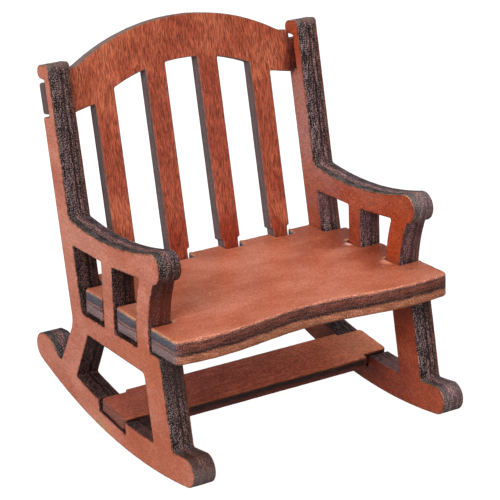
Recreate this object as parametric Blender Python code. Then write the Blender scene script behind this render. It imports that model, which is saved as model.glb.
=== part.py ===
"""A miniature rocking chair: five plywood pieces that slot together, with no glue block or fastener.

Driving dimensions are in millimetres, and MM turns them into Blender's metres. They are given in the
design frame, where the seat's top is level at z = 0, the sitter faces -Y and +X is to the right of
someone who faces the chair. The whole chair is then tipped back by REST_TILT, the angle at which its
centre of mass stands over the point where the rockers touch the floor, and set on z = 0. Names that end
in ROUND are the radii of rounded corners.
"""

import math

import bpy
from mathutils import Vector

MM = 0.001

# Sheets, and the width over the two side panels.
PLY_THICK = 5.2
PLY_THIN = 2.7
CHAIR_WIDTH = 66.6
FIT_GAP = 0.4
OUTER_X = CHAIR_WIDTH / 2
INNER_X = OUTER_X - PLY_THICK
ARC_TOLERANCE = 0.01
SHARP = 0.3
SMALL_ROUND = 0.5
TIGHT_ROUND = 0.2

# Rest pose.
REST_TILT = 8.0

# Back posts. POST_FRONT is where the front edge's line crosses the level of the seat's top. The notch
# in each post's rear edge takes the back panel's tab. Its bottom is square to the post, and highest at
# the notch's floor.
RAKE = 10.0
POST_FRONT = -3.2
POST_DEPTH = 5.2
POST_TOP = 46.0
POST_TOP_DROP = 0.9
BACK_NOTCH_TOP = 42.4
BACK_NOTCH_BOTTOM = 34.75
BACK_NOTCH_DEPTH = 2.85
POST_TOP_FRONT_ROUND = 0.9
POST_TOP_REAR_ROUND = 1.7
BACK_NOTCH_TOP_ROUND = 1.1
BACK_NOTCH_BOTTOM_ROUND = 0.7
WAIST_Z = -9.5
WAIST_RADIUS = 5.0

# Arms. ARM_LOWEST is the lowest point of the arc of the arm's top, and the scroll at its front end is a
# circle that touches this arc from below. Arcs stop ARC_SHORT degrees before a rounded corner.
ARM_RADIUS = 82.0
ARM_LOWEST = (-13.0, 12.95)
ARM_REAR = -0.75
SCROLL_RADIUS = 3.15
SCROLL_Y = -35.3
SCROLL_SHORT = 6.0
ARC_SHORT = 1.0
WINDOW_TOP = 8.4
WINDOW_BOTTOM = -6.0
FRONT_WINDOW_RISE = 1.0

# Spindle and front posts. The front post's edges are arcs about one centre in front of the chair, and
# it ends below the seat's ear on a shelf that the ear rests on.
SPINDLE_REAR = -14.1
SPINDLE_FRONT = -18.6
FRONT_POST_CENTRE = (-63.3, -3.0)
FRONT_POST_FRONT_RADIUS = 30.4
FRONT_POST_REAR_RADIUS = 35.4
FRONT_POST_HEAD = (-35.65, 9.65)
SHELF_Z = -PLY_THICK - FIT_GAP
SHELF_FRONT = -36.9

# Legs. Each corner is (y, z).
TOE_CORNER = (-40.35, -24.65)
HEEL_CORNER = (7.4, -20.7)
HEEL_CREST = (12.7, -16.45)
REAR_LEG_FOOT = 0.0
REAR_LEG_HEAD = (-6.25, -10.3)
FRONT_LEG_HEAD = (-30.15, -10.9)
FRONT_LEG_FOOT = -32.7
HEEL_ROUND = 1.3
HEEL_CREST_ROUND = 2.4
FRONT_LEG_ROUND = 0.9

# Rockers. Both edges of the bar are arcs about ROCKER_CENTRE, and its ends are round noses. An angle
# along the rocker is measured at that centre from straight down, rearwards. The front nose turns on
# until FRONT_NOSE_END, measured at its own centre, where the toe's sloping edge leaves it.
ROCKER_CENTRE = (-28.6, 91.6)
ROCKER_RADIUS = 123.1
ROCKER_DEPTH = 6.2
NOSE_RADIUS = 3.2
FRONT_NOSE_ANGLE = -8.1
REAR_NOSE_ANGLE = 21.6
FRONT_NOSE_END = -262.0

# Seat board. Its front edge is a cosine wave about SEAT_FRONT. Two tabs a side go through the windows,
# and an ear a side passes in front of the front post.
SEAT_REAR = 0.85
SEAT_FRONT = -42.95
SEAT_WAVE = 1.35
SEAT_WAVE_LENGTH = 48.0
SEAT_WAVE_STEP = 2.0
SEAT_WAVE_POINTS = 16
SEAT_TABS = ((-5.5, -12.9), (-18.95, -27.4))
EAR_REAR = -33.5
EAR_RADIUS = 1.5
TAB_FRONT_ROUND = 0.4
TAB_REAR_ROUND = 1.1
TAB_RECESS = 0.1
SLOT_FLOOR = -2.1
SLOT_CLEARANCE = 0.5

# Back panel, measured from the seat's top up along the panel.
SLAT_CENTRES = (6.45, 19.35)
SLAT_WIDTH = 5.0
TENON_WIDTH = 3.8
SHOULDER = 1.35
TENON_FOOT = 0.2 - PLY_THICK
CREST_TOP = 51.7
CREST_RADIUS = 48.1
CREST_END_TOP = 44.3
CREST_ARC_END = 24.6
CREST_SHOULDER = (25.5, 44.5)
CREST_SHOULDER_ROUND = 1.5
CREST_UNDER = 42.3
CREST_UNDER_RADIUS = 41.6
CREST_END_UNDER = 34.9
CREST_TAB_TOP = 42.3
CREST_TAB_LEFT = 35.6
CREST_TAB_RIGHT = 35.38
CREST_TAB_RECESS = 0.5
CREST_TAB_ROUND = 0.4
BACK_PANEL_FRONT = -0.45
BACK_PANEL_OFFSET = -0.25

# Stretcher: a board between the rockers, with a tab through a notch in the top of each.
STRETCHER_TOP = (-15.6, -23.8)
STRETCHER_TILT = 8.0
STRETCHER_FRONT = -6.5
STRETCHER_REAR = 5.9
STRETCHER_SHOULDER_X = 27.0
STRETCHER_TAB_WIDTH = 10.0
STRETCHER_NOTCH = (-9.5, -20.8)
STRETCHER_CLEARANCE = 0.6
STRETCHER_NOTCH_FLOOR = STRETCHER_TOP[1] - PLY_THIN - STRETCHER_CLEARANCE
STRETCHER_TAB_ROUND = 0.8

STAINS = {
    "side_panel": ((0.46, 0.185, 0.13, 1.0), 0.45),
    "back_panel": ((0.30, 0.09, 0.05, 1.0), 0.5),
    "seat_board": ((0.40, 0.145, 0.085, 1.0), 0.4),
    "stretcher": ((0.23, 0.085, 0.05, 1.0), 0.45),
}


def arc(centre, radius, start, end):
    """Unrounded corners along a circle from one angle to another, in degrees, ends included."""
    step = 2 * math.acos(1 - ARC_TOLERANCE / radius)
    count = max(2, math.ceil(abs(math.radians(end - start)) / step))
    angles = [math.radians(start + (end - start) * i / count) for i in range(count + 1)]
    return [(centre[0] + radius * math.cos(a), centre[1] + radius * math.sin(a), 0) for a in angles]


def angle_of(centre, point):
    return math.degrees(math.atan2(point[1] - centre[1], point[0] - centre[0]))


def half_chord(radius, offset):
    """Half the length of the chord that passes this far from a circle's centre."""
    return math.sqrt(radius**2 - offset**2)


def drop(radius, offset):
    """How far a circle falls away from its highest or lowest point at this distance to one side."""
    return radius - half_chord(radius, offset)


def fillet(before, corner, after):
    """The arc that rounds a corner (a, b, radius), from the side it came along to the side it leaves by."""
    point = Vector(corner[:2])
    to_before = (Vector(before[:2]) - point).normalized()
    to_after = (Vector(after[:2]) - point).normalized()
    half = to_before.angle(to_after) / 2
    reach = corner[2] / math.tan(half)
    centre = point + (to_before + to_after).normalized() * (corner[2] / math.sin(half))
    start = angle_of(centre, point + to_before * reach)
    turn = (angle_of(centre, point + to_after * reach) - start + 180) % 360 - 180
    return arc(centre, corner[2], start, start + turn)


def outline(corners):
    """One closed loop of points from corners given as (a, b, radius), where radius 0 leaves one sharp."""
    points = []
    for i, corner in enumerate(corners):
        if corner[2]:
            points += fillet(corners[i - 1], corner, corners[(i + 1) % len(corners)])
        else:
            points.append(corner)
    return points


def mirrored(half, other=None):
    """Closes an outline: the half at +X, then the same corners, or the other half's, backwards at -X."""
    return half + [(-a, b, radius) for a, b, radius in reversed(other or half)]


def post_line(z, behind=0.0):
    """The y of a point on the post's raked front edge, or that far behind it."""
    return POST_FRONT + behind + math.tan(math.radians(RAKE)) * z


def side_outline():
    """The outer edge of a side panel in (y, z), from where the arm meets the post, round by the back."""
    arm_centre = (ARM_LOWEST[0], ARM_LOWEST[1] + ARM_RADIUS)
    arm_start = (ARM_REAR, ARM_LOWEST[1] + drop(ARM_RADIUS, ARM_REAR - ARM_LOWEST[0]))
    reach = ARM_RADIUS + SCROLL_RADIUS
    scroll = (SCROLL_Y, arm_centre[1] - half_chord(reach, SCROLL_Y - arm_centre[0]))
    touch = angle_of(scroll, arm_centre)
    scroll_start = angle_of(scroll, FRONT_POST_HEAD) + 360
    rear_nose = nose_centre(REAR_NOSE_ANGLE)
    front_nose = nose_centre(FRONT_NOSE_ANGLE)
    post_foot = (front_post_y(SHELF_Z, FRONT_POST_FRONT_RADIUS), SHELF_Z)
    notch_floor = POST_DEPTH - BACK_NOTCH_DEPTH
    notch_foot = BACK_NOTCH_BOTTOM - BACK_NOTCH_DEPTH * math.tan(math.radians(RAKE))
    rear_top = POST_TOP - POST_TOP_DROP
    return outline([
        (*arm_start, SHARP),
        (post_line(POST_TOP), POST_TOP, POST_TOP_FRONT_ROUND),
        (post_line(rear_top, POST_DEPTH), rear_top, POST_TOP_REAR_ROUND),
        (post_line(BACK_NOTCH_TOP, POST_DEPTH), BACK_NOTCH_TOP, BACK_NOTCH_TOP_ROUND),
        (post_line(BACK_NOTCH_TOP, notch_floor), BACK_NOTCH_TOP, SHARP),
        (post_line(BACK_NOTCH_BOTTOM, notch_floor), BACK_NOTCH_BOTTOM, SHARP),
        (post_line(notch_foot, POST_DEPTH), notch_foot, BACK_NOTCH_BOTTOM_ROUND),
        (post_line(WAIST_Z, POST_DEPTH), WAIST_Z, WAIST_RADIUS),
        (*HEEL_CORNER, HEEL_ROUND),
        (*HEEL_CREST, HEEL_CREST_ROUND),
        *arc(rear_nose, NOSE_RADIUS, 90, REAR_NOSE_ANGLE - 90),
        *arc(ROCKER_CENTRE, ROCKER_RADIUS, REAR_NOSE_ANGLE - 90, FRONT_NOSE_ANGLE - 90),
        *arc(front_nose, NOSE_RADIUS, FRONT_NOSE_ANGLE - 90, FRONT_NOSE_END),
        (*TOE_CORNER, SMALL_ROUND),
        (SHELF_FRONT, SHELF_Z, SHARP),
        (*post_foot, SHARP),
        *front_post_arc(FRONT_POST_FRONT_RADIUS, SHELF_Z, FRONT_POST_HEAD[1]),
        (*FRONT_POST_HEAD, SHARP),
        *arc(scroll, SCROLL_RADIUS, scroll_start - SCROLL_SHORT, touch),
        *arc(arm_centre, ARM_RADIUS, touch - 180, angle_of(arm_centre, arm_start) - ARC_SHORT),
    ])


def nose_centre(angle):
    """The centre of a rocker's round end, which touches the rocker's bottom arc from inside."""
    reach = ROCKER_RADIUS - NOSE_RADIUS
    turn = math.radians(angle)
    return (ROCKER_CENTRE[0] + reach * math.sin(turn), ROCKER_CENTRE[1] - reach * math.cos(turn))


def front_post_y(z, radius):
    """The y of the front post's front or rear edge, whichever has this radius, at this height."""
    return FRONT_POST_CENTRE[0] + half_chord(radius, z - FRONT_POST_CENTRE[1])


def front_post_arc(radius, bottom, top, inset=1.0):
    """The edge of the front post from bottom to top, stopping short of both for the corners there."""
    start = angle_of(FRONT_POST_CENTRE, (front_post_y(bottom + inset, radius), bottom + inset))
    end = angle_of(FRONT_POST_CENTRE, (front_post_y(top - inset, radius), top - inset))
    return arc(FRONT_POST_CENTRE, radius, start, end)


def rear_window():
    return outline([
        (post_line(WINDOW_TOP), WINDOW_TOP, SHARP),
        (post_line(WINDOW_BOTTOM), WINDOW_BOTTOM, SHARP),
        (SPINDLE_REAR, WINDOW_BOTTOM, SHARP),
        (SPINDLE_REAR, WINDOW_TOP, SHARP),
    ])


def front_window():
    radius = FRONT_POST_REAR_RADIUS
    top = WINDOW_TOP + FRONT_WINDOW_RISE
    return outline([
        (SPINDLE_FRONT, WINDOW_TOP, SHARP),
        (SPINDLE_FRONT, WINDOW_BOTTOM, SHARP),
        (front_post_y(WINDOW_BOTTOM, radius), WINDOW_BOTTOM, SHARP),
        *front_post_arc(radius, WINDOW_BOTTOM, top),
        (front_post_y(top, radius), top, SHARP),
    ])


def rocker_top(y):
    """The height of the rocker bar's upper edge."""
    return ROCKER_CENTRE[1] - half_chord(ROCKER_RADIUS - ROCKER_DEPTH, y - ROCKER_CENTRE[0])


def rocker_top_arc(start_y, end_y):
    radius = ROCKER_RADIUS - ROCKER_DEPTH
    start = angle_of(ROCKER_CENTRE, (start_y, rocker_top(start_y)))
    return arc(ROCKER_CENTRE, radius, start, angle_of(ROCKER_CENTRE, (end_y, rocker_top(end_y))))


def lower_opening():
    """The opening between the legs, whose bottom edge is the rocker's top with the stretcher's notch."""
    slope = math.tan(math.radians(STRETCHER_TILT))
    rear, front = STRETCHER_NOTCH
    corner = 1.0
    return outline([
        (REAR_LEG_FOOT, rocker_top(REAR_LEG_FOOT), SHARP),
        (*REAR_LEG_HEAD, SHARP),
        (*FRONT_LEG_HEAD, FRONT_LEG_ROUND),
        (FRONT_LEG_FOOT, rocker_top(FRONT_LEG_FOOT), SHARP),
        *rocker_top_arc(FRONT_LEG_FOOT + corner, front - corner),
        (front, rocker_top(front), SHARP),
        (front, STRETCHER_NOTCH_FLOOR + slope * (front - STRETCHER_TOP[0]), SHARP),
        (rear, STRETCHER_NOTCH_FLOOR + slope * (rear - STRETCHER_TOP[0]), SHARP),
        (rear, rocker_top(rear), SHARP),
        *rocker_top_arc(rear + corner, REAR_LEG_FOOT - corner),
    ])


def seat_front_edge(x):
    """The serpentine front edge: furthest back in the middle, furthest forward near the ends."""
    return SEAT_FRONT + SEAT_WAVE * math.cos(2 * math.pi * x / SEAT_WAVE_LENGTH)


def seat_outline():
    """The seat's edge in (x, y): front edge, ear, two tabs a side, then the slots for the tenons."""
    side = INNER_X - FIT_GAP
    tip = OUTER_X - TAB_RECESS
    xs = [SEAT_WAVE_STEP * (i + 0.5) for i in range(SEAT_WAVE_POINTS)]
    half = [(x, seat_front_edge(x), 0) for x in xs]
    half += [
        (tip, seat_front_edge(tip), EAR_RADIUS),
        (tip, EAR_REAR, SMALL_ROUND),
        (side, EAR_REAR, SHARP),
    ]
    for rear, front in reversed(SEAT_TABS):
        half += [
            (side, front, SHARP),
            (tip, front, TAB_FRONT_ROUND),
            (tip, rear, TAB_REAR_ROUND),
            (side, rear, SHARP),
        ]
    half.append((side, SEAT_REAR, SHARP))
    slot = TENON_WIDTH / 2 + SLOT_CLEARANCE
    for centre in reversed(SLAT_CENTRES):
        half += [
            (centre + slot, SEAT_REAR, SHARP),
            (centre + slot, SLOT_FLOOR, SHARP),
            (centre - slot, SLOT_FLOOR, SHARP),
            (centre - slot, SEAT_REAR, SHARP),
        ]
    return outline(mirrored(half))


def crest_height(x, peak, radius):
    """The height of the crest's upper or lower edge, whichever has this peak and radius."""
    return peak - drop(radius, x)


def crest_arc(start_x, end_x, peak, radius):
    centre = (0, peak - radius)
    start = angle_of(centre, (start_x, crest_height(start_x, peak, radius)))
    end = angle_of(centre, (end_x, crest_height(end_x, peak, radius)))
    return arc(centre, radius, start, end)


def back_outline():
    """The back panel's edge in (x, height along the panel). Its right tab reaches lower than its left one."""
    return outline(mirrored(back_half(CREST_TAB_RIGHT), back_half(CREST_TAB_LEFT)))


def back_half(tab_bottom):
    """Half of the back panel's edge: crest, tab, then each gap and slat inwards."""
    end = INNER_X - FIT_GAP
    tab_end = OUTER_X - CREST_TAB_RECESS
    under = (CREST_UNDER, CREST_UNDER_RADIUS)
    near_middle = 0.5
    clear = SLAT_WIDTH / 2 + 1
    half = crest_arc(near_middle, CREST_ARC_END, CREST_TOP, CREST_RADIUS)
    half += [
        (*CREST_SHOULDER, CREST_SHOULDER_ROUND),
        (end, CREST_END_TOP, SHARP),
        (end, CREST_TAB_TOP, SHARP),
        (tab_end, CREST_TAB_TOP, CREST_TAB_ROUND),
        (tab_end, tab_bottom, CREST_TAB_ROUND),
        (end, tab_bottom, 0),
        (end, CREST_END_UNDER, TIGHT_ROUND),
    ]
    inner_slat, outer_slat = SLAT_CENTRES
    half += slat_corners(outer_slat)
    half += crest_arc(outer_slat - clear, inner_slat + clear, *under)
    half += slat_corners(inner_slat)
    half += crest_arc(inner_slat - clear, near_middle, *under)
    return half


def slat_corners(centre):
    """One slat from its outer root in the crest, down round its tenon, and up to its inner root."""
    wide = SLAT_WIDTH / 2
    narrow = TENON_WIDTH / 2
    outer_top = crest_height(centre + wide, CREST_UNDER, CREST_UNDER_RADIUS)
    inner_top = crest_height(centre - wide, CREST_UNDER, CREST_UNDER_RADIUS)
    return [
        (centre + wide, outer_top, TIGHT_ROUND),
        (centre + wide, SHOULDER, SHARP),
        (centre + narrow, SHOULDER, TIGHT_ROUND),
        (centre + narrow, TENON_FOOT, SHARP),
        (centre - narrow, TENON_FOOT, SHARP),
        (centre - narrow, SHOULDER, TIGHT_ROUND),
        (centre - wide, SHOULDER, SHARP),
        (centre - wide, inner_top, TIGHT_ROUND),
    ]


def stretcher_outline():
    """The stretcher's edge in (x, distance rearwards from the middle line of its tabs)."""
    tab = STRETCHER_TAB_WIDTH / 2
    tip = OUTER_X - TAB_RECESS
    half = [
        (STRETCHER_SHOULDER_X, STRETCHER_FRONT, SHARP),
        (STRETCHER_SHOULDER_X, -tab, SHARP),
        (tip, -tab, STRETCHER_TAB_ROUND),
        (tip, tab, STRETCHER_TAB_ROUND),
        (STRETCHER_SHOULDER_X, tab, SHARP),
        (STRETCHER_SHOULDER_X, STRETCHER_REAR, SHARP),
    ]
    return outline(mirrored(half))


def material(name, stain):
    colour, roughness = STAINS[stain]
    made = bpy.data.materials.new(name)
    made.use_nodes = True
    shader = made.node_tree.nodes["Principled BSDF"]
    shader.inputs["Base Color"].default_value = colour
    shader.inputs["Roughness"].default_value = roughness
    shader.inputs["Metallic"].default_value = 0.0
    return made


def plate(name, stain, loops, thickness):
    """A flat piece cut from one sheet: the first loop is its edge, and the others are its openings."""
    curve = bpy.data.curves.new(name, "CURVE")
    curve.dimensions = "2D"
    curve.fill_mode = "BOTH"
    curve.extrude = thickness / 2 * MM
    for points in loops:
        spline = curve.splines.new("POLY")
        spline.points.add(len(points) - 1)
        for point, (a, b, _) in zip(spline.points, points):
            point.co = (a * MM, b * MM, 0, 1)
        spline.use_cyclic_u = True
    curve.materials.append(material(name, stain))
    return bpy.data.objects.new(name, curve)


def place(obj, parent, location, rotation=(0, 0, 0)):
    obj.location = Vector(location) * MM
    obj.rotation_euler = [math.radians(angle) for angle in rotation]
    obj.parent = parent


def build_side_panels(chair):
    loops = [side_outline(), rear_window(), front_window(), lower_opening()]
    middle = OUTER_X - PLY_THICK / 2
    for name, x in (("side_panel_left", -middle), ("side_panel_right", middle)):
        panel = plate(name, "side_panel", loops, PLY_THICK)
        place(panel, chair, (x, 0, 0), (90, 0, 90))
        yield panel


def build_seat(chair):
    seat = plate("seat_board", "seat_board", [seat_outline()], PLY_THICK)
    place(seat, chair, (0, 0, -PLY_THICK / 2))
    return seat


def build_back_panel(chair):
    back = plate("back_panel", "back_panel", [back_outline()], PLY_THIN)
    rake = math.radians(RAKE)
    y = BACK_PANEL_FRONT + math.cos(rake) * PLY_THIN / 2
    z = -math.sin(rake) * PLY_THIN / 2
    place(back, chair, (BACK_PANEL_OFFSET, y, z), (90 - RAKE, 0, 0))
    return back


def build_stretcher(chair):
    stretcher = plate("stretcher", "stretcher", [stretcher_outline()], PLY_THIN)
    tilt = math.radians(STRETCHER_TILT)
    y = STRETCHER_TOP[0] + math.sin(tilt) * PLY_THIN / 2
    z = STRETCHER_TOP[1] - math.cos(tilt) * PLY_THIN / 2
    place(stretcher, chair, (0, y, z), (STRETCHER_TILT, 0, 0))
    return stretcher


def stand_on_floor(chair, pieces):
    """Tips the chair to its rest pose, then puts the middle of its bounding box's bottom at the origin."""
    chair.rotation_euler.x = -math.radians(REST_TILT)
    bpy.context.view_layer.update()
    graph = bpy.context.evaluated_depsgraph_get()
    points = []
    for piece in pieces:
        shape = piece.evaluated_get(graph)
        points += [shape.matrix_world @ vertex.co for vertex in shape.to_mesh().vertices]
        shape.to_mesh_clear()
    ys = [point.y for point in points]
    chair.location.y = -(min(ys) + max(ys)) / 2
    chair.location.z = -min(point.z for point in points)


def main():
    for obj in list(bpy.data.objects):
        bpy.data.objects.remove(obj)
    collection = bpy.data.collections.new("miniature_rocking_chair")
    bpy.context.scene.collection.children.link(collection)
    chair = bpy.data.objects.new("chair", None)
    pieces = [*build_side_panels(chair), build_seat(chair), build_back_panel(chair), build_stretcher(chair)]
    for obj in (chair, *pieces):
        collection.objects.link(obj)
    stand_on_floor(chair, pieces)


main()
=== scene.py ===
"""Looks for the miniature rocking chair: five pieces of laser-cut plywood, stained red-brown, on white.

Each piece is remade from its CAD plate: the cut outline is read from the plate's own mesh, its arrises are
rounded, its cut walls get the relief of charred plies, and its faces get points near the cuts, so that the
material knows how far each spot is from an edge. Lengths are millimetres until a mesh is made.
"""

import math
from dataclasses import dataclass

import bpy
import numpy as np
from mathutils import Matrix, Vector, geometry, kdtree


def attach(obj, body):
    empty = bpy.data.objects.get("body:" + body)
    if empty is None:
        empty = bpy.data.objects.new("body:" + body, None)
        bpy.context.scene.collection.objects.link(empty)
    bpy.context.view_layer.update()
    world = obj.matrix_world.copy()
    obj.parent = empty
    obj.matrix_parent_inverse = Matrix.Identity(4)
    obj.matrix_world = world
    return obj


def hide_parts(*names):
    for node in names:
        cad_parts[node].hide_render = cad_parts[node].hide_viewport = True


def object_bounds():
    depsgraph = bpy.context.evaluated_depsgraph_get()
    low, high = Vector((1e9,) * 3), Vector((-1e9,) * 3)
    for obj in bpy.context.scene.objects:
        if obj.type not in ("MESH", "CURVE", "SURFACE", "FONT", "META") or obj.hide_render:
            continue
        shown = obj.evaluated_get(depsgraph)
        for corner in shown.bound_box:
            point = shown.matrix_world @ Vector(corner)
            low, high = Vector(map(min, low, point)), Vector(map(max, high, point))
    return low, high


MM = 0.001

# Remaking the plates. Each of RIM_ROWS is a row's distance from the cut, and which of its points are kept.
EDGE_STEP = 0.2
ARRIS_STEPS = 3
ARRIS_ROOM = 1.3
WALL_STEP = 0.4
RIM_ROWS = ((0.16, 1), (0.4, 2), (0.9, 4))
FACE_STEP = 2.0
RIM_REACH = 3.0
LIE_EASING = 50
SHARP_ANGLE = math.radians(60)

# Relief of the cuts: the sizes of its features, and how unevenly the arrises are worn. WEAR_APART is how
# far the two arrises' wear is taken from the middle of the noise, so that they differ.
PLIES = 3
RIPPLE_SIZE = 0.45
PIT_SIZE = 0.5
WAVE_SIZE = 5.0
WEAR_SIZE = 1.2
WEAR_SHARE = 0.3
WEAR_APART = 40

# Bump of the materials.
BUMP_DEPTH = 0.06 * MM
BUMP_STRENGTH = 0.8

# Camera, as someone standing at the chair's front left would hold it.
CAMERA_AZIMUTH = 33.2
CAMERA_ELEVATION = 26.13
CAMERA_ROLL = 2.66
CAMERA_DISTANCE = 464.5
CAMERA_LENS = 158.8
CAMERA_AIM = Vector((-0.4, -1.15, -2.49))

# Studio, in metres and watts. Each light is aimed at the chair's foot: name, place, size and power.
LIGHTS = (
    ("key", (-0.6, -0.3, 0.55), 0.4, 6.2),
    ("top", (0.0, 0.1, 0.8), 0.5, 2.6),
    ("front", (-0.25, -0.7, 0.35), 0.4, 2.2),
)
FLOOR_REACH = 3.0
FLOOR_GLOW = 0.97
SKY_STRENGTH = 0.3


@dataclass
class Sheet:
    """A flat piece as the CAD has it, in its own axes: u along the grain, v across it, w through it."""

    origin: Vector
    axes: Matrix
    loops: list
    thickness: float


@dataclass
class Stack:
    """A cut loop's rings of points, from the -w face to the +w face, and what the material reads on them.

    lie is how far the cut runs along the grain at each point, and the opening flag is 1 on the walls round
    an opening.
    """

    rings: np.ndarray
    along: np.ndarray
    lie: np.ndarray
    in_opening: float


@dataclass
class Veneer:
    """The colour of one face: its stain's dark, middle and light shades, and spots (u, v, reach, colour,
    share), most of them painted light and shade.

    The figure is how many fine marks there are in a mm along and across the grain, and contrast is how
    strongly they show. The streaks' share is against clouds, and the flecks' is against the stain.
    """

    shades: tuple
    spots: tuple = ()
    figure: tuple = (1.2, 3.0)
    contrast: float = 0.3
    streaks: float = 0.3
    flecks: float = 0.2
    roughness: float = 0.42


@dataclass
class Cut:
    """The burnt plies of a cut from -w to +w: bands of char, and of its pale specks and painted glints,
    with their share.
    """

    char: tuple
    specks_and_glints: tuple
    marks: float = 0.5


@dataclass
class Finish:
    """How a piece is stained and burnt: its -w and +w faces, and its cuts along and across the grain.

    For the cuts, the spots on the walls are like a veneer's, the one on the posts' tops partly painted
    sheen; streaked is the share of streaks where the grain is cut across, darkest and brightness scale the
    darkest marks and the whole colour, and the openings' tint is painted shade on the walls of the loops
    inside the outline. The arris' radius and the relief are lengths. Soot is its share of the face beside a
    cut.
    """

    low: Veneer
    high: Veneer
    along: Cut
    across: Cut
    wall_spots: tuple = ()
    streaked: float = 0.2
    darkest: float = 0.16
    brightness: float = 1.0
    opening_shade: tuple = (1.0, 1.0, 1.0)
    arris: float = 0.22
    relief: float = 0.03
    soot: float = 0.5


def lattice_noise(points, period, seed):
    """Smooth noise from -1 to 1 at an array of points (a, b), with features about one period across."""
    table = np.random.default_rng(seed).uniform(-1, 1, (64, 64))
    cell = np.asarray(points, float) / period
    low = np.floor(cell).astype(int)
    share = cell - low
    share = share * share * (3 - 2 * share)
    a, b = low[:, 0] % 64, low[:, 1] % 64
    near = table[a, b] * (1 - share[:, 0]) + table[(a + 1) % 64, b] * share[:, 0]
    far = table[a, (b + 1) % 64] * (1 - share[:, 0]) + table[(a + 1) % 64, (b + 1) % 64] * share[:, 0]
    return near * (1 - share[:, 1]) + far * share[:, 1]


def read_sheet(node, grain):
    """Reads a CAD plate's cut loops, with the material on the left of each."""
    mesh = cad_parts[node].data
    mesh.calc_loop_triangles()
    points = np.array([vertex.co for vertex in mesh.vertices]) / MM
    faces = np.array([triangle.vertices for triangle in mesh.loop_triangles])
    _, first, joined = np.unique(points.round(3), axis=0, return_index=True, return_inverse=True)
    points = points[first]
    faces = joined.reshape(-1)[faces]
    normals = np.cross(points[faces[:, 1]] - points[faces[:, 0]], points[faces[:, 2]] - points[faces[:, 0]])
    areas = np.linalg.norm(normals, axis=1)
    spread = (normals / np.maximum(areas, 1e-9)[:, None]).T @ normals
    through = Vector(np.linalg.eigh(spread)[1][:, 2])
    if through.dot(Vector((1, 1, 1))) < 0:
        through.negate()
    along = (Vector(grain) - through * through.dot(Vector(grain))).normalized()
    axes = Matrix((along, through.cross(along), through))
    middle = (points.max(0) + points.min(0)) / 2
    local = (points - middle) @ np.array(axes).T
    top = faces[normals @ np.array(through) > 0.99 * areas]
    return Sheet(Vector(middle), axes, cut_loops(local[:, :2], top), float(np.ptp(local[:, 2])))


def cut_loops(points, faces):
    """The closed boundary loops of a set of faces, each an array of points in order."""
    edges = {(a, b) for face in faces for a, b in zip(face, np.roll(face, -1))}
    follow = {a: b for a, b in edges if (b, a) not in edges}
    loops = []
    while follow:
        start, current = follow.popitem()
        loop = [start]
        while current != start:
            loop.append(current)
            current = follow.pop(current)
        loops.append(points[loop])
    return sorted(loops, key=len, reverse=True)


def resample(loop, step):
    """Evenly spaced points round a closed loop, with its facets eased, and the spacing."""
    closed = np.vstack([loop, loop[:1]])
    lengths = np.linalg.norm(np.diff(closed, axis=0), axis=1)
    along = np.concatenate([[0], np.cumsum(lengths)])
    count = round(along[-1] / step)
    at = np.arange(count) * along[-1] / count
    points = np.stack([np.interp(at, along, closed[:, axis]) for axis in (0, 1)], axis=1)
    return eased(points, 1), along[-1] / count


def eased(values, passes):
    """A closed run of values, smoothed with its neighbours."""
    for _ in range(passes):
        values = (np.roll(values, 1, axis=0) + 2 * values + np.roll(values, -1, axis=0)) / 4
    return values


def inward(points):
    """Unit normals of a closed loop, into the material."""
    tangents = np.roll(points, -1, axis=0) - np.roll(points, 1, axis=0)
    tangents /= np.linalg.norm(tangents, axis=1)[:, None]
    return np.stack([-tangents[:, 1], tangents[:, 0]], axis=1)


def corner_room(points, normals, reach):
    """How far in each point of a loop can go, up to reach, before the loop folds over at a corner."""
    ahead = np.roll(points, -1, axis=0) - points
    room = np.full(len(points), reach)
    folded = np.ones(len(points), bool)
    while folded.any():
        moved = points + normals * room[:, None]
        steps = np.roll(moved, -1, axis=0) - moved
        folded = (steps * ahead).sum(axis=1) < 0.3 * (ahead * ahead).sum(axis=1)
        beside = folded | np.roll(folded, 1)
        beside |= np.roll(beside, 1) | np.roll(beside, -1)
        room[beside] *= 0.8
    return room


def point_tree(points):
    """A search tree over flat points."""
    tree = kdtree.KDTree(len(points))
    for i, point in enumerate(points):
        tree.insert((*point, 0), i)
    tree.balance()
    return tree


def wall_profile(thickness, arris):
    """(w, inset) of each ring, from the -w face round its arris, up the wall and round to the +w face."""
    turns = [math.pi / 2 * i / ARRIS_STEPS for i in range(ARRIS_STEPS + 1)]
    rounding = [(arris * (1 - math.cos(turn)), arris * (1 - math.sin(turn))) for turn in turns]
    half = thickness / 2
    count = max(4, round((thickness - 2 * arris) / WALL_STEP))
    middle = [-half + arris + (thickness - 2 * arris) * i / count for i in range(1, count)]
    low = [(-half + depth, inset) for depth, inset in rounding]
    high = [(half - depth, inset) for depth, inset in reversed(rounding)]
    return low + [(w, 0.0) for w in middle] + high


def wall_relief(along, w, finish, thickness, seed):
    """How far the cut wall stands back at each spot, or proud where negative.

    Each ply is burnt deepest in its middle, and the beam leaves ripples, pits and a slow wave.
    """
    spots = np.stack([along, np.full_like(along, w * 3)], axis=1)
    ripple = lattice_noise(spots * (1, 0.1), RIPPLE_SIZE, seed)
    pits = lattice_noise(spots * (0.6, 1), PIT_SIZE, seed + 1)
    wave = lattice_noise(spots * (1, 0.2), WAVE_SIZE, seed + 2)
    ply = abs(((w / thickness + 0.5) * PLIES) % 1 - 0.5) * 2
    return finish.relief * (0.5 * ripple + 0.6 * pits + 0.5 * wave + 0.7 * (1 - ply))


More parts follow.
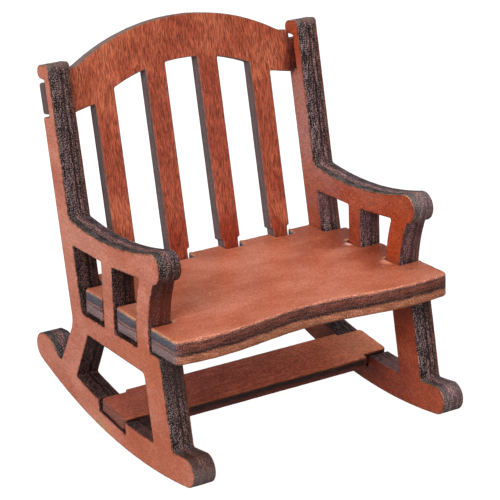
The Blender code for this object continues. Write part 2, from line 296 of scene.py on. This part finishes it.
def build_stack(sheet, number, profile, finish, seed):
    """The rings of one of the sheet's loops, kept within the box of its outline."""
    points, step = resample(sheet.loops[number], EDGE_STEP)
    normals = inward(points)
    along = np.arange(len(points)) * step
    reach = ARRIS_ROOM * finish.arris
    room = corner_room(points, normals, reach) / reach
    low, high = sheet.loops[0].min(0), sheet.loops[0].max(0)
    rings = []
    for w, inset in profile:
        depth = min(1.0, (sheet.thickness / 2 - abs(w)) / finish.arris)
        spots = np.stack([along, np.full_like(along, np.sign(w) * WEAR_APART)], axis=1)
        wear = room * (1 + WEAR_SHARE * lattice_noise(spots, WEAR_SIZE, seed + 5))
        relief = wall_relief(along, w, finish, sheet.thickness, seed + 10 * number)
        offset = inset * wear + depth * relief
        flat = np.clip(points + normals * offset[:, None], low, high)
        rings.append(np.column_stack([flat, np.full(len(points), w)]))
    return Stack(np.array(rings), along, eased(abs(normals[:, 1]), LIE_EASING), float(number > 0))


def ring_vertices(stacks, ring):
    """The index of every vertex on one ring of each stack, when the stacks come first in the mesh."""
    index = []
    start = 0
    for stack in stacks:
        size = len(stack.along)
        index += range(start + ring * size, start + (ring + 1) * size)
        start += len(stack.rings) * size
    return index


def wall_quads(stacks, profile, arris):
    """The quads of the cut walls, and (distance along the cut, w, share of wall) at each corner."""
    quads, corners = [], []
    walls = [min(1, 1 - inset / arris) for _, inset in profile]
    start = 0
    for stack in stacks:
        size = len(stack.along)
        step = stack.along[1]
        for ring in range(len(profile) - 1):
            low_w, high_w = profile[ring][0], profile[ring + 1][0]
            base = start + ring * size
            for i, here in enumerate(stack.along):
                j = (i + 1) % size
                quads.append((base + i, base + j, base + size + j, base + size + i))
                corners += [
                    (here, low_w, walls[ring]),
                    (here + step, low_w, walls[ring]),
                    (here + step, high_w, walls[ring + 1]),
                    (here, high_w, walls[ring + 1]),
                ]
        start += len(profile) * size
    return quads, corners


def face_triangles(triangles, index, w):
    """One face's triangles, turned to look outwards, and (0, w, 0) at each corner, as it has no wall."""
    turned = triangles[:, [0, 2, 1]] if w < 0 else triangles
    faces = [tuple(index[i] for i in triangle) for triangle in turned]
    return faces, [(0, w, 0)] * (3 * len(faces))


def build_mesh(name, sheet, finish, seed):
    """The plate's mesh in the row frame, with the attributes that its material reads."""
    profile = wall_profile(sheet.thickness, finish.arris)
    stacks = [build_stack(sheet, number, profile, finish, seed) for number in range(len(sheet.loops))]
    edges = [stack.rings[0][:, :2] for stack in stacks]
    inside = face_points(edges)
    triangles = triangulate(edges, inside)

    vertices = [stack.rings.reshape(-1, 3) for stack in stacks]
    wall_count = sum(len(part) for part in vertices)
    count = wall_count
    polygons, corners = [], []
    for side, ring in ((-1, 0), (1, len(profile) - 1)):
        w = side * sheet.thickness / 2
        index = ring_vertices(stacks, ring) + list(range(count, count + len(inside)))
        vertices.append(np.column_stack([inside, np.full(len(inside), w)]))
        count += len(inside)
        faces, face_corners = face_triangles(triangles, index, w)
        polygons += faces
        corners += face_corners
    quads, wall_corners = wall_quads(stacks, profile, finish.arris)

    sheet_points = np.vstack(vertices)
    placed = sheet_points @ np.array(sheet.axes) + np.array(sheet.origin)
    mesh = bpy.data.meshes.new(name)
    mesh.from_pydata((placed * MM).tolist(), [], polygons + quads)
    tree = point_tree(np.vstack(edges))
    rim = [min(RIM_REACH, tree.find((*point, 0))[2]) for point in inside]
    on_faces = np.zeros(2 * len(inside))
    lie = [np.tile(stack.lie, len(profile)) for stack in stacks]
    in_opening = [np.full(stack.rings.size // 3, stack.in_opening) for stack in stacks]
    add_attribute(mesh, "sheet", "FLOAT_VECTOR", "POINT", sheet_points)
    add_attribute(mesh, "rim", "FLOAT", "POINT", np.concatenate([np.zeros(wall_count), rim, rim]))
    add_attribute(mesh, "lie", "FLOAT", "POINT", np.concatenate([*lie, on_faces]))
    add_attribute(mesh, "in_opening", "FLOAT", "POINT", np.concatenate([*in_opening, on_faces]))
    add_attribute(mesh, "edge", "FLOAT_VECTOR", "CORNER", np.array(corners + wall_corners, float))
    mesh.shade_smooth()
    mesh.set_sharp_from_angle(angle=SHARP_ANGLE)
    return mesh


def add_attribute(mesh, name, kind, domain, values):
    attribute = mesh.attributes.new(name, kind, domain)
    field = "vector" if kind == "FLOAT_VECTOR" else "value"
    attribute.data.foreach_set(field, np.asarray(values, np.float32).reshape(-1))


def face_points(edges):
    """Points spread over the face: rows that follow the cut edges, and a grid between them."""
    rim = np.vstack(edges)
    tree = point_tree(rim)
    kept = []
    for distance, every in RIM_ROWS:
        for edge in edges:
            row = (edge + inward(edge) * distance)[::every]
            kept += [point for point in row if tree.find((*point, 0))[2] > 0.93 * distance]
    low, high = rim.min(0), rim.max(0)
    reach = RIM_ROWS[-1][0] + FACE_STEP / 3
    for u in np.arange(low[0], high[0], FACE_STEP):
        for v in np.arange(low[1], high[1], FACE_STEP):
            if tree.find((u, v, 0))[2] > reach:
                kept.append(np.array((u, v)))
    kept = np.array(kept)
    return kept[inside_loops(kept, edges)]


def inside_loops(points, loops):
    """True for each point that lies in the material, by counting the loops' crossings above it."""
    crossings = np.zeros(len(points), int)
    for loop in loops:
        for a, b in zip(loop, np.roll(loop, -1, axis=0)):
            spans = (points[:, 0] < a[0]) != (points[:, 0] < b[0])
            if not spans.any():
                continue
            height = a[1] + (points[:, 0] - a[0]) * (b[1] - a[1]) / (b[0] - a[0] + 1e-12)
            crossings += spans & (height > points[:, 1])
    return crossings % 2 == 1


def triangulate(edges, inside):
    """Triangles over the face, by index into the edges' points followed by the inside ones."""
    points = np.vstack([*edges, inside])
    links = []
    start = 0
    for edge in edges:
        size = len(edge)
        links += [(start + i, start + (i + 1) % size) for i in range(size)]
        start += size
    result = geometry.delaunay_2d_cdt([Vector(point) for point in points], links, [], 0, 1e-6)
    origin = [ids[0] for ids in result[3]]
    triangles = np.array([[origin[i] for i in face] for face in result[2]])
    centres = points[triangles].mean(axis=1)
    return triangles[inside_loops(centres, edges)]


class Graph:
    """Builds a material's nodes, taking sockets or plain numbers as inputs and handing sockets back."""

    def __init__(self, name):
        self.material = bpy.data.materials.new(name)
        self.material.use_nodes = True
        self.tree = self.material.node_tree
        self.shader = self.tree.nodes["Principled BSDF"]

    def add(self, kind, inputs, output=0, **settings):
        node = self.tree.nodes.new("ShaderNode" + kind)
        for setting, value in settings.items():
            setattr(node, setting, value)
        for socket, value in inputs.items():
            self.plug(node.inputs[socket], value)
        return node.outputs[output]

    def plug(self, socket, value):
        if isinstance(value, bpy.types.NodeSocket):
            self.tree.links.new(value, socket)
        elif socket.type == "RGBA" and len(value) == 3:
            socket.default_value = (*value, 1)
        else:
            socket.default_value = value

    def attribute(self, name, output="Vector"):
        return self.add("Attribute", {}, output, attribute_name=name)

    def scaled(self, vector, scale, offset=(0, 0, 0)):
        return self.add("VectorMath", {0: vector, 1: scale, 2: offset}, operation="MULTIPLY_ADD")

    def noise(self, vector, detail=2.0, roughness=0.5):
        inputs = {"Vector": vector, "Scale": 1.0, "Detail": detail, "Roughness": roughness}
        return self.add("TexNoise", inputs)

    def sum(self, a, b):
        return self.add("Math", {0: a, 1: b}, operation="ADD")

    def times(self, a, b):
        return self.add("Math", {0: a, 1: b}, operation="MULTIPLY")

    def blend(self, factor, a, b):
        return self.add("Mix", {0: factor, 2: a, 3: b})

    def between(self, value, low, high, to_low=0.0, to_high=1.0):
        """value, as it goes from low to high, turned into to_low to to_high, and held there beyond."""
        inputs = {0: value, 1: low, 2: high, 3: to_low, 4: to_high}
        return self.add("MapRange", inputs, interpolation_type="SMOOTHSTEP")

    def mix(self, factor, a, b, blend="MIX"):
        inputs = {0: factor, 6: a, 7: b}
        return self.add("Mix", inputs, 2, data_type="RGBA", blend_type=blend)

    def shaded(self, colour, shade):
        """colour, with each of its channels multiplied by shade."""
        return self.mix(1.0, colour, self.add("CombineXYZ", {0: shade, 1: shade, 2: shade}), "MULTIPLY")

    def ramp(self, value, stops):
        output = self.add("ValToRGB", {0: value})
        ramp = output.node.color_ramp
        for _ in stops[2:]:
            ramp.elements.new(0.5)
        for element, (position, colour) in zip(ramp.elements, stops):
            element.position = position
            element.color = (*colour, 1)
        return output


def ply_material(name, finish, thickness):
    """Stained veneer on the faces and charred plies on the cuts, blended over the arris between them."""
    graph = Graph(name)
    sheet = graph.attribute("sheet")
    on_wall = graph.add("SeparateXYZ", {0: graph.attribute("edge")}, "Z")
    rim = graph.attribute("rim", "Fac")
    through = graph.add("SeparateXYZ", {0: sheet}, "Z")
    is_high = graph.between(through, -0.1, 0.1)
    low_colour, low_height = veneer_colour(graph, sheet, finish.low)
    high_colour, high_height = veneer_colour(graph, sheet, finish.high)
    face_colour = graph.mix(is_high, low_colour, high_colour)
    face_height = graph.blend(is_high, low_height, high_height)
    face_rough = graph.between(is_high, 0, 1, finish.low.roughness, finish.high.roughness)
    fray = graph.noise(graph.scaled(sheet, (1.3, 1.3, 1.3)), detail=3)
    soot = graph.times(graph.between(rim, 0.0, 0.25, finish.soot, 0.0), graph.between(fray, 0.35, 0.6))
    face_colour = graph.mix(soot, face_colour, finish.across.char[1][1])
    wall_colour, wall_height = wall_colours(graph, sheet, finish, thickness)
    worn = graph.times(graph.sum(fray, -0.5), 0.2 / finish.arris)
    wall = graph.between(graph.sum(on_wall, worn), 0.3, 0.8)
    graph.plug(graph.shader.inputs["Base Color"], graph.mix(wall, face_colour, wall_colour))
    rough = graph.sum(face_rough, graph.times(graph.sum(fray, -0.5), 0.25))
    rough = graph.blend(wall, rough, graph.between(wall_height, 0, 1, 0.65, 0.45))
    graph.plug(graph.shader.inputs["Roughness"], rough)
    graph.plug(graph.shader.inputs["Specular IOR Level"], 0.22)
    height = graph.blend(wall, graph.times(face_height, 0.4), wall_height)
    bump = graph.add("Bump", {"Height": height, "Strength": BUMP_STRENGTH, "Distance": BUMP_DEPTH})
    graph.plug(graph.shader.inputs["Normal"], bump)
    return graph.material


def veneer_colour(graph, sheet, veneer):
    """A face's stain, clouded and streaked along the grain, with its figure's marks, its spots, mostly
    painted light and shade, and pale flecks.

    Returns the colour, and the marks as a height.
    """
    waver = graph.noise(graph.scaled(sheet, (0.12, 0.2, 0.2)), detail=1)
    bent = graph.add("CombineXYZ", {1: graph.times(graph.sum(waver, -0.5), 2.0)})
    grain = graph.add("VectorMath", {0: sheet, 1: bent}, operation="ADD")
    cloud = graph.noise(graph.scaled(sheet, (0.09, 0.14, 0.3)), detail=3)
    streak = graph.noise(graph.scaled(grain, (0.22, 1.6, 1)), detail=4, roughness=0.65)
    along, across = veneer.figure
    marks = graph.noise(graph.scaled(grain, (along, across, 1), (7, 3, 0)), detail=2, roughness=0.6)
    tone = graph.sum(graph.times(cloud, 1 - veneer.streaks), graph.times(streak, veneer.streaks))
    marked = graph.times(graph.sum(marks, -0.5), veneer.contrast)
    tone = graph.sum(graph.between(tone, 0.28, 0.72), graph.times(marked, 2.0))
    dark, middle, light = veneer.shades
    colour = graph.ramp(tone, [(0, dark), (0.5, middle), (1, light)])
    # Spots of colour, most of them painted light and shade on the chair.
    for u, v, reach, spot_colour, share in veneer.spots:
        colour = graph.mix(spot(graph, sheet, cloud, u, v, reach, share), colour, spot_colour)
    shade = graph.between(marks, 0.36, 0.64, 1 - 0.7 * veneer.contrast, 1 + 0.7 * veneer.contrast)
    colour = graph.shaded(colour, shade)
    flecks = graph.noise(graph.scaled(sheet, (2.6, 3.4, 1), (1, 9, 0)), detail=1)
    flecks = graph.times(graph.between(flecks, 0.66, 0.74), veneer.flecks)
    return graph.mix(flecks, colour, srgb(238, 178, 146)), marks


def spot(graph, sheet, cloud, u, v, reach, share):
    """share within a ragged patch round (u, v), fading to 0 at its reach."""
    offset = graph.add("VectorMath", {0: sheet, 1: (u, v, 0)}, operation="SUBTRACT")
    flat = graph.add("VectorMath", {0: offset, 1: (1, 1, 0)}, operation="MULTIPLY")
    distance = graph.add("VectorMath", {0: flat}, "Value", operation="LENGTH")
    ragged = graph.sum(distance, graph.times(graph.sum(cloud, -0.5), reach))
    return graph.between(ragged, reach, reach * 0.2, 0, share)


def wall_colours(graph, sheet, finish, thickness):
    """A cut's burnt plies: mostly streaks along the grain, and across it specks with the finish's streaks.

    Returns the colour, and the marks as a height.
    """
    edge = graph.attribute("edge")
    in_opening = graph.attribute("in_opening", "Fac")
    lie = graph.between(graph.attribute("lie", "Fac"), 0.2, 0.95)
    lie = graph.times(lie, graph.between(in_opening, 0, 1, 1, 0))
    coarse = graph.noise(graph.scaled(edge, (0.3, 0.7, 0), (8, 2, 0)), detail=2)
    across = graph.add("SeparateXYZ", {0: edge}, "Y")
    waver = graph.noise(graph.scaled(edge, (0.12, 0.3, 0)), detail=2)
    level = graph.sum(graph.times(across, 1 / thickness), graph.between(waver, 0, 1, 0.44, 0.56))
    lean = graph.times(graph.add("Math", {0: across}, operation="ABSOLUTE"), 0.7)
    leaning = graph.add("VectorMath", {0: edge, 1: graph.add("CombineXYZ", {0: lean})}, operation="ADD")
    grit = graph.noise(graph.scaled(leaning, (6.4, 3.2, 0)), detail=0)
    stroke = graph.noise(graph.scaled(leaning, (1.7, 1.2, 0), (0, 5, 0)), detail=2, roughness=0.6)
    fibre = graph.noise(graph.scaled(edge, (0.4, 4.6, 0), (3, 1, 0)), detail=3, roughness=0.75)
    specks = graph.sum(graph.times(grit, 0.8), graph.times(stroke, 0.2))
    streaks = graph.sum(graph.times(grit, 0.4), graph.times(fibre, 0.6))
    marks = graph.blend(graph.between(lie, 0, 1, finish.streaked, 0.8), specks, streaks)
    marks = graph.sum(marks, graph.times(graph.sum(coarse, -0.5), 0.2))
    char = graph.mix(lie, graph.ramp(level, finish.across.char), graph.ramp(level, finish.along.char))
    specks_and_glints = graph.mix(lie, graph.ramp(level, finish.across.specks_and_glints), graph.ramp(level, finish.along.specks_and_glints))
    shade = graph.between(marks, 0.43, 0.56, finish.darkest, 1.15)
    char = graph.shaded(char, shade)
    share = graph.between(lie, 0, 1, finish.across.marks, finish.along.marks)
    # Pale specks over the char, partly the char's own and partly painted glints.
    colour = graph.mix(graph.times(graph.between(marks, 0.525, 0.59), share), char, specks_and_glints)
    colour = graph.add("VectorMath", {0: colour, 1: (finish.brightness,) * 3}, operation="MULTIPLY")
    # Painted shade on the walls round the openings, where the finish gives a tint for it.
    colour = graph.mix(in_opening, colour, graph.mix(1.0, colour, finish.opening_shade, "MULTIPLY"))
    # Patches of colour on the cuts; the one on the posts' tops is partly painted sheen.
    for u, v, reach, spot_colour, share in finish.wall_spots:
        spotted = graph.mix(0.25, spot_colour, colour)
        colour = graph.mix(spot(graph, sheet, stroke, u, v, reach, share), colour, spotted)
    return colour, marks


def make_piece(node, finish, grain, seed):
    """Puts a remade plate in the place of a CAD node."""
    sheet = read_sheet(node, grain)
    name = node + "_ply"
    mesh = build_mesh(name, sheet, finish, seed)
    mesh.materials.append(ply_material(name, finish, sheet.thickness))
    piece = bpy.data.objects.new(name, mesh)
    bpy.context.scene.collection.objects.link(piece)
    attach(piece, "root")
    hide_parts(node)


def srgb(red, green, blue):
    """A linear colour from 8-bit display values."""
    shares = [value / 255 for value in (red, green, blue)]
    return tuple(s / 12.92 if s <= 0.04045 else ((s + 0.055) / 1.055) ** 2.4 for s in shares)


# Outer faces: the stain's shades carry a painted pink sheen. The first three spots are painted light: less
# sheen and darker orange down the legs, and a paler pink sheen towards the rear. The last two are pale tan
# patches at the rocker's foot.
OUTER_FACE = Veneer(
    shades=(srgb(174, 96, 72), srgb(190, 114, 92), srgb(204, 132, 112)),
    spots=(
        (-18, -30, 26, srgb(176, 88, 56), 0.6),
        (-12, -14, 12, srgb(186, 100, 66), 0.5),
        (14, 2, 16, srgb(202, 136, 116), 0.5),
        (3.8, -36.2, 3.4, srgb(186, 136, 96), 0.9),
        (0.2, -36.8, 3.4, srgb(196, 124, 80), 0.9),
    ),
    figure=(1.8, 3.6),
    contrast=0.24,
)
# Inner faces: darker and redder than the outer ones, partly stained so and partly painted shade. Their
# spots are painted light and shade: a pale pink pool of light up the rear post and a lighter arm, painted
# shade at the post's top by the crest, down the front post, legs and rockers and darkest by the stretcher,
# with the toes lighter.
INNER_FACE = Veneer(
    shades=(srgb(134, 56, 34), srgb(150, 68, 44), srgb(166, 84, 58)),
    spots=(
        (22, 16, 24, srgb(170, 112, 102), 0.9),
        (-2, 10, 9, srgb(168, 96, 74), 0.6),
        (29.5, 33, 12, srgb(160, 66, 32), 0.8),
        (-8, -24, 26, srgb(132, 48, 28), 0.75),
        (2, -34, 16, srgb(80, 20, 10), 0.85),
        (-20, -33, 8, srgb(112, 40, 24), 0.6),
        (-28, -31, 10, srgb(150, 66, 40), 0.8),
        (-14, 2, 12, srgb(156, 62, 30), 0.75),
    ),
    figure=(2.0, 3.2),
    contrast=0.36,
)
POST_CUT = Cut(
    char=(
        (0.0, srgb(86, 42, 32)),
        (0.05, srgb(26, 17, 18)),
        (0.3, srgb(38, 27, 28)),
        (0.5, srgb(52, 37, 36)),
        (0.54, srgb(12, 7, 7)),
        (0.59, srgb(14, 9, 9)),
        (0.64, srgb(78, 50, 49)),
        (0.73, srgb(64, 42, 40)),
        (0.77, srgb(20, 14, 13)),
        (0.82, srgb(40, 31, 28)),
        (0.88, srgb(82, 42, 32)),
        (1.0, srgb(112, 60, 46)),
    ),
    specks_and_glints=(
        (0.0, srgb(150, 88, 70)),
        (0.06, srgb(166, 142, 142)),
        (0.5, srgb(164, 128, 120)),
        (0.55, srgb(54, 38, 38)),
        (0.59, srgb(58, 42, 42)),
        (0.65, srgb(172, 134, 132)),
        (0.73, srgb(160, 122, 118)),
        (0.78, srgb(76, 58, 54)),
        (0.83, srgb(134, 122, 110)),
        (0.9, srgb(130, 78, 62)),
        (1.0, srgb(142, 84, 66)),
    ),
    marks=0.75,
)
# Its end bands, orange at the -w arris and pale pink at the +w arris, are painted highlight lines along the
# arrises.
ARM_CUT = Cut(
    char=(
        (0.0, srgb(146, 84, 56)),
        (0.05, srgb(78, 60, 52)),
        (0.12, srgb(56, 50, 50)),
        (0.26, srgb(50, 42, 44)),
        (0.31, srgb(22, 18, 20)),
        (0.38, srgb(84, 60, 60)),
        (0.62, srgb(94, 68, 68)),
        (0.7, srgb(56, 42, 46)),
        (0.92, srgb(48, 40, 44)),
        (1.0, srgb(168, 112, 100)),
    ),
    specks_and_glints=(
        (0.0, srgb(184, 126, 88)),
        (0.08, srgb(120, 108, 98)),
        (0.3, srgb(96, 88, 90)),
        (0.42, srgb(178, 132, 126)),
        (0.62, srgb(170, 128, 126)),
        (0.72, srgb(120, 100, 106)),
        (0.92, srgb(112, 96, 102)),
        (1.0, srgb(224, 180, 168)),
    ),
    marks=0.9,
)
# The posts' tops: pale grey char, partly a painted sheen on these upward cuts.
POST_TOP_CHAR_AND_SHEEN = (31.5, 39, 5, srgb(150, 124, 116), 0.6)
LEFT = Finish(
    low=OUTER_FACE,
    high=INNER_FACE,
    along=ARM_CUT,
    across=POST_CUT,
    wall_spots=(
        (-16, 3.5, 8, srgb(72, 30, 22), 0.95),
        (-15, -1, 6, srgb(96, 42, 26), 0.8),
        (-20.5, -12, 8, srgb(46, 30, 29), 0.75),
        (-16, -31, 8, srgb(112, 64, 56), 0.4),
        POST_TOP_CHAR_AND_SHEEN,
        (-32, -25.5, 8, srgb(68, 38, 28), 0.85),
        (-34.6, -29, 3.5, srgb(150, 132, 130), 0.35),
    ),
    streaked=0.45,
    # Painted shade: the walls inside the left panel's windows are darkened.
    opening_shade=(0.54, 0.4, 0.38),
)
RIGHT = Finish(
    low=INNER_FACE,
    high=OUTER_FACE,
    along=ARM_CUT,
    across=POST_CUT,
    wall_spots=(
        POST_TOP_CHAR_AND_SHEEN,
        (-33, -27, 6, srgb(140, 116, 116), 0.3),
        (-15.5, 1, 9, srgb(104, 66, 68), 0.55),
        (-17.5, 11, 7, srgb(160, 138, 138), 0.25),
        (17, -1, 9, srgb(112, 68, 68), 0.6),
        (4, -1, 8, srgb(104, 62, 66), 0.6),
        (-14, -31, 9, srgb(150, 102, 102), 0.75),
        (22, -27, 11, srgb(136, 90, 88), 0.6),
    ),
    streaked=0.85,
    brightness=1.35,
)
# The back's spots: a broad darker tone over the middle, painted shade low down at the slats' feet where
# they meet the seat, and the crest's right end, where it goes into the post, darkened as char with a
# painted shadow over it.
BACK_FACE = Veneer(
    shades=(srgb(136, 56, 34), srgb(152, 72, 48), srgb(172, 92, 64)),
    spots=(
        (-6, 0, 38, srgb(140, 66, 50), 0.5),
        (-28, 6, 15, srgb(122, 36, 16), 0.8),
        (-28, 22, 12, srgb(122, 36, 16), 0.7),
        (-26, -6, 15, srgb(128, 44, 24), 0.6),
        (12.5, 28.8, 3.8, srgb(58, 17, 11), 1.0),
        (16, 28.8, 3.6, srgb(66, 20, 12), 1.0),
        (19.5, 28.6, 3.6, srgb(66, 20, 12), 1.0),
    ),
    figure=(0.6, 7.0),
    contrast=0.64,
    streaks=0.15,
    roughness=0.5,
)
BACK = Finish(
    low=BACK_FACE,
    high=BACK_FACE,
    along=Cut(
        char=((0.0, srgb(84, 66, 64)), (0.5, srgb(98, 82, 82)), (1.0, srgb(84, 68, 66))),
        specks_and_glints=((0.0, srgb(120, 98, 96)), (0.5, srgb(134, 116, 116)), (1.0, srgb(120, 100, 98))),
        marks=0.4,
    ),
    across=Cut(
        char=((0.0, srgb(96, 70, 60)), (0.5, srgb(108, 92, 86)), (1.0, srgb(96, 72, 64))),
        specks_and_glints=((0.0, srgb(150, 124, 112)), (0.5, srgb(164, 146, 138)), (1.0, srgb(150, 126, 114))),
        marks=0.6,
    ),
    darkest=0.75,
    brightness=1.1,
    soot=0.3,
)
# The seat's spots are painted light and shade: painted shade along its right side by the right panel and at
# the back where the slats stand, and two pale painted highlights where the tabs go into the right panel's
# windows.
SEAT_FACE = Veneer(
    shades=(srgb(164, 82, 54), srgb(180, 101, 74), srgb(192, 116, 92)),
    spots=(
        (30, -4, 15, srgb(134, 54, 30), 0.85),
        (29, 8, 13, srgb(128, 48, 26), 0.9),
        (24, 20, 9, srgb(136, 58, 36), 0.75),
        (27.2, 5.8, 1.8, srgb(240, 188, 168), 0.9),
        (27.6, -8.6, 2.8, srgb(226, 150, 122), 0.85),
        (26, 16, 12, srgb(150, 74, 52), 0.5),
        (-2, 21, 8, srgb(146, 76, 56), 0.5),
        (-17, 21, 8, srgb(140, 70, 50), 0.6),
        (14, 21, 8, srgb(146, 74, 52), 0.5),
    ),
    figure=(3.0, 4.0),
    contrast=0.22,
    flecks=0.5,
    roughness=0.36,
)
SEAT = Finish(
    low=SEAT_FACE,
    high=SEAT_FACE,
    along=Cut(
        char=(
            (0.0, srgb(150, 84, 56)),
            (0.08, srgb(150, 88, 64)),
            (0.34, srgb(156, 94, 70)),
            (0.4, srgb(66, 38, 34)),
            (0.48, srgb(48, 30, 29)),
            (0.54, srgb(92, 52, 43)),
            (0.63, srgb(70, 40, 35)),
            (0.72, srgb(108, 60, 49)),
            (0.86, srgb(84, 48, 42)),
            (0.94, srgb(172, 104, 82)),
            (1.0, srgb(190, 116, 92)),
        ),
        specks_and_glints=(
            (0.0, srgb(188, 120, 84)),
            (0.3, srgb(204, 144, 110)),
            (0.36, srgb(190, 122, 92)),
            (0.45, srgb(100, 66, 60)),
            (0.7, srgb(156, 86, 66)),
            (0.84, srgb(140, 92, 84)),
            (0.94, srgb(214, 150, 126)),
            (1.0, srgb(214, 150, 126)),
        ),
        marks=0.85,
    ),
    across=Cut(
        char=(
            (0.0, srgb(112, 92, 94)),
            (0.4, srgb(130, 104, 104)),
            (0.47, srgb(70, 52, 54)),
            (0.53, srgb(150, 104, 98)),
            (0.58, srgb(74, 68, 76)),
            (0.88, srgb(86, 80, 88)),
            (0.93, srgb(130, 100, 86)),
            (1.0, srgb(204, 148, 104)),
        ),
        specks_and_glints=(
            (0.0, srgb(150, 126, 128)),
            (0.4, srgb(166, 136, 134)),
            (0.53, srgb(184, 134, 124)),
            (0.6, srgb(112, 106, 116)),
            (0.88, srgb(120, 114, 124)),
            (1.0, srgb(226, 178, 132)),
        ),
        marks=0.5,
    ),
    darkest=0.6,
    brightness=1.08,
    arris=0.6,
    soot=0.15,
)
# The stretcher's spots: its right end painted as lit, its left end in painted shade under the left panel.
BOARD_FACE = Veneer(
    shades=(srgb(160, 70, 50), srgb(190, 96, 72), srgb(206, 118, 90)),
    spots=((34, 0, 30, srgb(255, 154, 114), 1.0), (-30, 0, 24, srgb(144, 72, 54), 0.9)),
    figure=(1.6, 4.0),
    contrast=0.4,
    streaks=0.6,
)
# The orange band at its +w arris, the top, is a painted highlight line.
BOARD_CUT = Cut(
    char=(
        (0.0, srgb(104, 48, 38)),
        (0.3, srgb(88, 40, 32)),
        (0.45, srgb(48, 28, 26)),
        (0.75, srgb(40, 24, 22)),
        (0.9, srgb(120, 62, 40)),
        (1.0, srgb(190, 104, 64)),
    ),
    specks_and_glints=(
        (0.0, srgb(130, 66, 50)),
        (0.4, srgb(92, 54, 46)),
        (0.85, srgb(64, 48, 46)),
        (1.0, srgb(206, 124, 82)),
    ),
)
BOARD_END = Cut(
    char=(
        (0.0, srgb(112, 62, 50)),
        (0.5, srgb(132, 78, 64)),
        (0.92, srgb(142, 84, 68)),
        (1.0, srgb(70, 34, 28)),
    ),
    specks_and_glints=(
        (0.0, srgb(150, 96, 80)),
        (0.5, srgb(172, 112, 94)),
        (0.92, srgb(180, 120, 100)),
        (1.0, srgb(96, 52, 42)),
    ),
)
BOARD = Finish(low=BOARD_FACE, high=BOARD_FACE, along=BOARD_CUT, across=BOARD_END, darkest=0.5)


def build_stage():
    """A glowing white floor that casts nothing on the chair, a white sky and the three lights."""
    floor_mesh = bpy.data.meshes.new("floor")
    reach = FLOOR_REACH
    corners = [(-reach, -reach, 0), (reach, -reach, 0), (reach, reach, 0), (-reach, reach, 0)]
    floor_mesh.from_pydata(corners, [], [(0, 1, 2, 3)])
    floor = bpy.data.objects.new("floor", floor_mesh)
    bpy.context.scene.collection.objects.link(floor)
    graph = Graph("floor")
    graph.plug(graph.shader.inputs["Base Color"], (0.12, 0.12, 0.12))
    graph.plug(graph.shader.inputs["Roughness"], 0.9)
    graph.plug(graph.shader.inputs["Emission Color"], (1, 1, 1))
    graph.plug(graph.shader.inputs["Emission Strength"], FLOOR_GLOW)
    floor_mesh.materials.append(graph.material)
    floor.visible_diffuse = False
    floor.visible_glossy = False
    for light in LIGHTS:
        add_light(*light)
    world = bpy.data.worlds.new("studio")
    bpy.context.scene.world = world
    world.use_nodes = True
    background = world.node_tree.nodes["Background"]
    background.inputs["Strength"].default_value = SKY_STRENGTH
    background.inputs["Color"].default_value = (1, 1, 1, 1)


def add_light(name, position, size, power):
    data = bpy.data.lights.new(name, "AREA")
    data.size = size
    data.energy = power
    light = bpy.data.objects.new(name, data)
    light.location = position
    light.rotation_euler = (-Vector(position)).to_track_quat("-Z", "Y").to_euler()
    bpy.context.scene.collection.objects.link(light)


def build_camera():
    low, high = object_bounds()
    aim = (Vector(low) + Vector(high)) / 2 + CAMERA_AIM * MM
    azimuth = math.radians(CAMERA_AZIMUTH)
    elevation = math.radians(CAMERA_ELEVATION)
    ahead = Vector(
        (
            math.sin(azimuth) * math.cos(elevation),
            math.cos(azimuth) * math.cos(elevation),
            -math.sin(elevation),
        )
    )
    data = bpy.data.cameras.new("camera")
    data.lens = CAMERA_LENS
    data.sensor_width = 36
    data.clip_start = 0.01
    camera = bpy.data.objects.new("camera", data)
    camera.location = aim - ahead * CAMERA_DISTANCE * MM
    turned = ahead.to_track_quat("-Z", "Y").to_matrix() @ Matrix.Rotation(math.radians(CAMERA_ROLL), 3, "Z")
    camera.rotation_euler = turned.to_euler()
    bpy.context.scene.collection.objects.link(camera)
    bpy.context.scene.camera = camera


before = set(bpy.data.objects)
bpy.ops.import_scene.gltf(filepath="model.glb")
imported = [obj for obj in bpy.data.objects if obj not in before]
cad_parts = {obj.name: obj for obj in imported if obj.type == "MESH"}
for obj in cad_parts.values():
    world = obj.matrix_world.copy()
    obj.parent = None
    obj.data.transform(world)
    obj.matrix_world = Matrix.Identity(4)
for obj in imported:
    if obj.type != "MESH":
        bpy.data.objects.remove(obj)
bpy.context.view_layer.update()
build_camera()
build_stage()
bpy.context.scene.view_settings.view_transform = "Standard"
make_piece("side_panel_left", LEFT, (0, 1, 0), 1)
make_piece("side_panel_right", RIGHT, (0, 1, 0), 2)
make_piece("back_panel", BACK, (0, 0, 1), 3)
make_piece("seat_board", SEAT, (1, 0, 0), 4)
make_piece("stretcher", BOARD, (1, 0, 0), 5)
